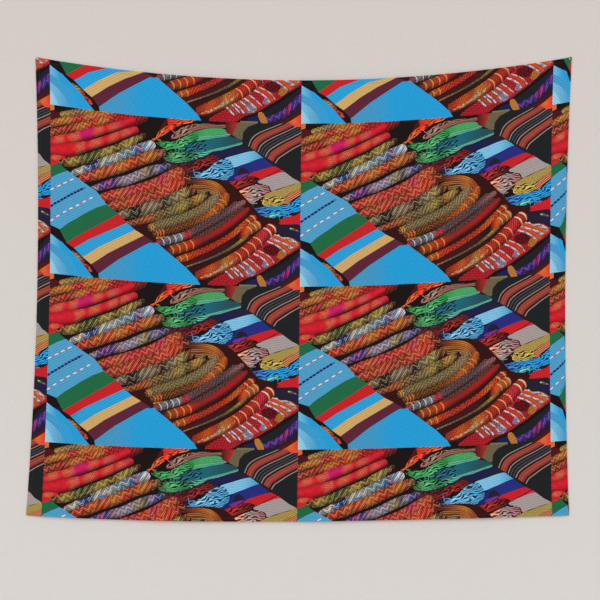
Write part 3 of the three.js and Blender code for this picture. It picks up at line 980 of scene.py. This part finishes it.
def make_cloth(printed):
    """The cloth as closed thin sheets: the whole hanging below the cut, and the two corners above it."""
    rim = printed.rim()
    back, back_tris = back_triangles(printed, rim)
    count, faced = len(printed.flat), len(printed.tris)
    behind = {tuple(np.round(p, 2)): k + count for k, p in enumerate(back)}
    sides = []
    for a, b in rim:
        c, d = (behind.get(tuple(np.round(printed.flat[k], 2))) for k in (a, b))
        if None not in (c, d):
            sides += [(a, b, d), (a, d, c)]
    sides = np.array(sides)
    flat = np.vstack([printed.flat, back])
    y = np.where(np.arange(len(flat)) < count, FRONT_Y, FRONT_Y + THICK)
    points = hung_points(*(flat * MM).T, y)
    tris = np.vstack([printed.tris[:, ::-1], back_tris + count, sides])
    seen_side = printed.at(flat[sides].mean(1))

    def spread(values):
        """Values of the face's corners, carried to the back as nothing and to the sides as their mean."""
        blank = np.zeros((len(back_tris), 3, values.shape[2]))
        return np.concatenate([values[:, ::-1], blank, values.mean(1, keepdims=True)[seen_side].repeat(3, 1)])

    colour, accent, form = spread(printed.colour), spread(printed.accent), spread(printed.form)
    colour[faced:][:len(back_tris)] = printed.mean_colour(back)[back_tris]
    form[faced:] = flat[tris[faced:]][..., [0, 1, 1]] * MM * (1, 1, 0)
    accent[faced:, :, 3] = 0
    slots = np.concatenate([printed.kind, np.full(len(back_tris), len(KINDS)), np.zeros(len(sides), int)])
    x, _, z = points[tris].mean(1).T
    made = {}
    for name, part, keep in (
        ("printed_cloth", "whole", z < CUT_Z), ("left_corner_cloth", "corner", (z >= CUT_Z) & (x < 0)),
        ("right_corner_cloth", "corner", (z >= CUT_Z) & (x > 0)),
    ):
        used, faces = np.unique(tris[keep], return_inverse=True)
        looks = [values[keep].reshape(-1, values.shape[2]) for values in (colour, accent, form)]
        attributes = print_attributes(*looks, flat[tris[keep]].reshape(-1, 2))
        piece = add_mesh(name, points[used], faces.reshape(-1, 3), CLOTH_SHADERS, slots[keep], attributes)
        sharpen(piece, used < count)
        made[name] = hang(piece, part)
    return made


def sharpen(piece, in_front):
    """Marks as sharp the edges of the faces that join the sheet's face to its back."""
    edges = set()
    for face in piece.data.polygons:
        if in_front[list(face.vertices)].any() and not in_front[list(face.vertices)].all():
            edges.update(face.edge_keys)
    sharp = piece.data.attributes.new("sharp_edge", "BOOLEAN", "EDGE")
    sharp.data.foreach_set("value", [edge.key in edges for edge in piece.data.edges])


# ---- hems and stitching ----

HEM_FRONT, HEM_BACK = -0.0010, -0.0002
# The hem's section: how far in from the edge, and the share of the way from its front to its back.
HEM_IN = np.array([13.0, 9, 4.5, 1.2, 0.1, -0.25, 0.1, 1.2, 4.5, 9, 13.0]) * MM
HEM_LIFT = np.array([0.2, 0, 0, 0.05, 0.25, 0.5, 0.75, 0.95, 1, 1, 0.8])
HEM_STEP = 0.007
STITCH_IN, STITCH_LENGTH, STITCH_PITCH, STITCH_THICK = 0.011, 0.0029, 0.0036, 0.00022
EDGE_LENGTH = {"top": WIDTH, "bottom": WIDTH, "left": HEIGHT, "right": HEIGHT}


def on_edge(edge, along, inward, y):
    """Flat points and y, from places along an edge from its left or top end, and in from it."""
    along, inward, y = np.broadcast_arrays(along, inward, y)
    if edge in ("bottom", "right"):
        inward = (HEIGHT if edge == "bottom" else WIDTH) - inward
    s, t = (along, inward) if edge in ("top", "bottom") else (inward, along)
    return np.stack([s.ravel(), t.ravel(), y.ravel()], axis=1)


def hem_strip(edge, start, end):
    """The doubled cloth along an edge, mitred where it reaches a corner: points and faces."""
    count = max(3, int((end - start) / HEM_STEP))
    first = start + np.where(start < 1e-6, HEM_IN, 0)
    last = end - np.where(end > EDGE_LENGTH[edge] - 1e-6, HEM_IN, 0)
    along = first + (last - first) * np.linspace(0, 1, count)[:, None]
    y = HEM_FRONT + (HEM_BACK - HEM_FRONT) * HEM_LIFT
    return on_edge(edge, along, HEM_IN, y), tube_faces(count, len(HEM_IN))


def stitch_run(edge, start, end, y, bulge):
    """Separate stitches along an edge: points and faces."""
    count = max(1, int((end - start) / STITCH_PITCH))
    middle = start + (np.arange(count) + 0.5) * (end - start) / count
    steps = np.array([-0.5, -0.36, 0.0, 0.36, 0.5])[:, None] * STITCH_LENGTH
    rise = np.array([0.0, 0.7, 1.0, 0.7, 0.0])[:, None]
    wide = np.array([0.25, 0.85, 1.0, 0.85, 0.25])[:, None] * STITCH_THICK
    turn = np.arange(5) / 5 * TURN
    depth = y + bulge * rise + wide * 0.75 * np.sin(turn)
    points = on_edge(edge, middle[:, None, None] + steps, STITCH_IN + wide * np.cos(turn), depth)
    size = len(steps) * len(turn)
    faces = [f for c in range(count) for f in tube_faces(len(steps), len(turn), c * size)]
    return points, faces


def join_runs(runs, make, *more):
    """The points and faces that `make` gives for each run along an edge, as one."""
    points, faces, base = [], [], 0
    for run in runs:
        found, added = make(*run, *more)
        points.append(found)
        turn = -1 if run[0] in ("bottom", "left") else 1
        faces += [tuple(v + base for v in f)[::turn] for f in added]
        base += len(found)
    return np.vstack(points), faces


def make_hem(name, printed, runs, part, nodes):
    """One or more runs of hem as a piece, printed as the cloth beside it is."""
    points, faces = join_runs(runs, hem_strip)
    flat = points[:, :2] / MM
    tint = printed.colour.mean(1)[printed.at(np.clip(flat, 2, FLAT - 2))] * (1, 1, 1, 0)
    loops = np.concatenate(faces)
    form = np.pad(flat[loops] * MM, ((0, 0), (0, 1)))
    attributes = print_attributes(tint[loops], np.zeros((len(loops), 4)), form, flat[loops])
    piece = add_mesh(name, hung_points(*points.T), faces, PRINTED[:1], None, attributes)
    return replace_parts(hang(piece, part), *nodes)


def make_stitches(name, runs, front, part, nodes=()):
    """A run's needle thread on the face or bobbin thread on the hem's back."""
    y, bulge = (FRONT_Y + 0.0001, -0.0003) if front else (HEM_BACK - 0.0001, 0.0002)
    points, faces = join_runs(runs, stitch_run, y, bulge)
    piece = add_mesh(name, hung_points(*points.T), faces, [THREAD])
    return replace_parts(hang(piece, part), *nodes)


def make_hems(printed):
    """The four hems and the two corners' hems, each with its stitching."""
    (left_s, left_t), (right_s, right_t) = ((line[-1, 0] * MM, line[0, 1] * MM) for line in cut_lines())
    plan = [
        ("top_hem", [("top", left_s, right_s)], "cloth_upper", ["top_hem"]),
        ("bottom_hem", [("bottom", 0, WIDTH)], "cloth_lower", ["bottom_hem"]),
        ("left_hem", [("left", left_t, HEIGHT)], "whole", ["left_hem_upper", "left_hem_lower"]),
        ("right_hem", [("right", right_t, HEIGHT)], "whole", ["right_hem_upper", "right_hem_lower"]),
        ("left_corner_hem", [("top", 0, left_s), ("left", 0, left_t)], "corner", ["left_corner_hem"]),
        ("right_corner_hem", [("top", right_s, WIDTH), ("right", 0, right_t)], "corner",
            ["right_corner_hem"]),
    ]
    made = []
    for name, runs, part, nodes in plan:
        made.append(make_hem(name + "_strip", printed, runs, part, nodes))
        sewn = [
            (edge, max(start, STITCH_IN), min(end, EDGE_LENGTH[edge] - STITCH_IN)) for edge, start, end in runs
        ]
        for thread, front in (("_needle_thread", True), ("_bobbin_thread", False)):
            stands_for = [] if part == "corner" else [node + thread for node in nodes]
            made.append(make_stitches(name + thread + "_stitches", sewn, front, part, stands_for))
    return made


# ---- nails and label ----

# A nail's section, as radius and depth behind the wall's face in millimetres, from the head to the tip.
NAIL = """0,-2.6 0.7,-2.58 1.3,-2.5 1.72,-2.34 1.9,-2.12 1.86,-1.92 1.7,-1.82 0.78,-1.8 0.7,-1.65 0.7,-0.4
0.64,-0.2 0.7,0 0.64,0.3 0.7,0.6 0.7,21 0.5,22.2 0.22,23.5 0,24"""


def make_nail(name, x):
    """A drawn wire nail with a slightly domed head, driven through the cloth's corner."""
    radius, y = (rows(NAIL) * MM).T[..., None]
    turn = np.arange(40) / 40 * TURN
    points = np.stack([x + radius * np.cos(turn), y + 0 * turn, radius * np.sin(turn)], axis=2).reshape(-1, 3)
    nail = add_mesh(name + "_wire", points, tube_faces(len(radius), len(turn), ends=False), [STEEL])
    mesh = bmesh.new()
    mesh.from_mesh(nail.data)
    bmesh.ops.remove_doubles(mesh, verts=mesh.verts, dist=1e-7)
    bmesh.ops.recalc_face_normals(mesh, faces=mesh.faces)
    mesh.to_mesh(nail.data)
    mesh.free()
    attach(nail, name)
    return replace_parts(nail, name)


def make_label():
    """A blank woven tape label, sewn in at the left edge and curling a little."""
    low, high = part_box("care_label")
    wide, down = 25, 17
    x, z = np.meshgrid(np.linspace(low.x, high.x, wide), np.linspace(high.z, low.z, down))
    share, drop = (x - low.x) / (high.x - low.x), (high.z - z) / (high.z - low.z)
    middle = (low.y + high.y) / 2 + 0.00008 * np.sin(5 * share + 1.5 * drop) * share
    sheets = [np.stack([x, middle + side, z], axis=2).reshape(-1, 3) for side in (-0.00011, 0.00011)]
    count, faces = wide * down, []
    for r, c in np.ndindex(down - 1, wide - 1):
        a = r * wide + c
        b, d = a + wide, a + wide + 1
        faces += [(a, b, d, a + 1), (a + count, a + 1 + count, d + count, b + count)]
    rim = [*range(wide), *range(2 * wide - 1, count, wide), *range(count - 2, count - wide - 1, -1)]
    rim += range(count - 2 * wide, 0, -wide)
    faces += [(a, b, b + count, a + count) for a, b in zip(rim, rim[1:] + rim[:1])]
    label = add_mesh("care_label_tape", np.vstack(sheets), faces, [LABEL], smooth_=False)
    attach(label, "label")
    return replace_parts(label, "care_label")


printed = Print()
cloth = make_cloth(printed)
hems = make_hems(printed)
nails = [make_nail("left_nail", -0.752), make_nail("right_nail", 0.752)]
make_label()
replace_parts(cloth["printed_cloth"], "upper_panel", "lower_panel")
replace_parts(cloth["left_corner_cloth"], "left_corner_face")
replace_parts(cloth["right_corner_cloth"], "right_corner_face")

# ---- wall, floor and light ----

WALL_Y, FLOOR_Z, ROOM, CEILING_Z = 0.001, -1.75, 6, 3


def make_wall():
    """A pale plaster wall just behind the cloth, unseen from behind, with painted shade that darkens it
    towards its top, and a pale floor.
    """
    wall = Shader("plaster", Roughness=0.9)
    x, y, z = wall.split(wall.node("NewGeometry", {}))
    # Painted shade: the plaster's colour runs from lighter near the floor to darker and warmer towards the top
    # of the wall, for how the light falls on it.
    height = wall.node("MapRange", {0: z, 1: -1.55, 2: 0.2})
    tone = wall.mix(height, (0.72, 0.70, 0.68, 1), (0.66, 0.61, 0.585, 1))
    wall.colour(wall.mix(wall.noise(240.0, 4.0, x, y, z) * 0.13, tone, (0.4, 0.38, 0.36, 1)))
    wall.bump(wall.noise(110.0, 6.0, x, y, z), 0.5, 0.0016)
    not_camera = wall.node("LightPath", {}) * -1.0 + 1.0
    unseen = wall.node("NewGeometry", {}, 6).math("MAXIMUM", not_camera)
    surface = Value(wall, wall.surface.outputs[0])
    seen = wall.node("MixShader", {0: unseen, 1: surface, 2: wall.node("BsdfTransparent", {})})
    wall.feed(wall.nodes["Material Output"].inputs["Surface"], seen)
    sides = ((-ROOM, FLOOR_Z), (ROOM, FLOOR_Z), (ROOM, CEILING_Z), (-ROOM, CEILING_Z))
    plane = [(x, WALL_Y, z) for x, z in sides]
    floor = [(x, y, FLOOR_Z) for x, y in ((-ROOM, -ROOM), (ROOM, -ROOM), (ROOM, ROOM), (-ROOM, ROOM))]
    floor_shader = Shader("floor", Roughness=0.7, Base_Color=(0.62, 0.6, 0.58, 1))
    add_mesh("wall", plane, [(0, 1, 2, 3)], [wall], smooth_=False)
    add_mesh("floor", floor, [(0, 1, 2, 3)], [floor_shader], smooth_=False)


def make_light():
    """Even room light with a soft share from the upper left."""
    scene = bpy.context.scene
    scene.view_settings.view_transform = "Standard"
    scene.world = bpy.data.worlds.new("room")
    scene.world.use_nodes = True
    background = scene.world.node_tree.nodes["Background"].inputs
    background["Color"].default_value = (1.0, 0.99, 0.98, 1)
    background["Strength"].default_value = 0.78
    data = bpy.data.lights.new("window", "SUN")
    data.energy, data.angle, data.color = 1.15, math.radians(50), (1.0, 0.98, 0.96)
    window = bpy.data.objects.new("window", data)
    window.rotation_euler = Vector((-0.45, -1.0, 0.62)).to_track_quat("Z", "Y").to_euler()
    bpy.context.collection.objects.link(window)


make_wall()
make_light()
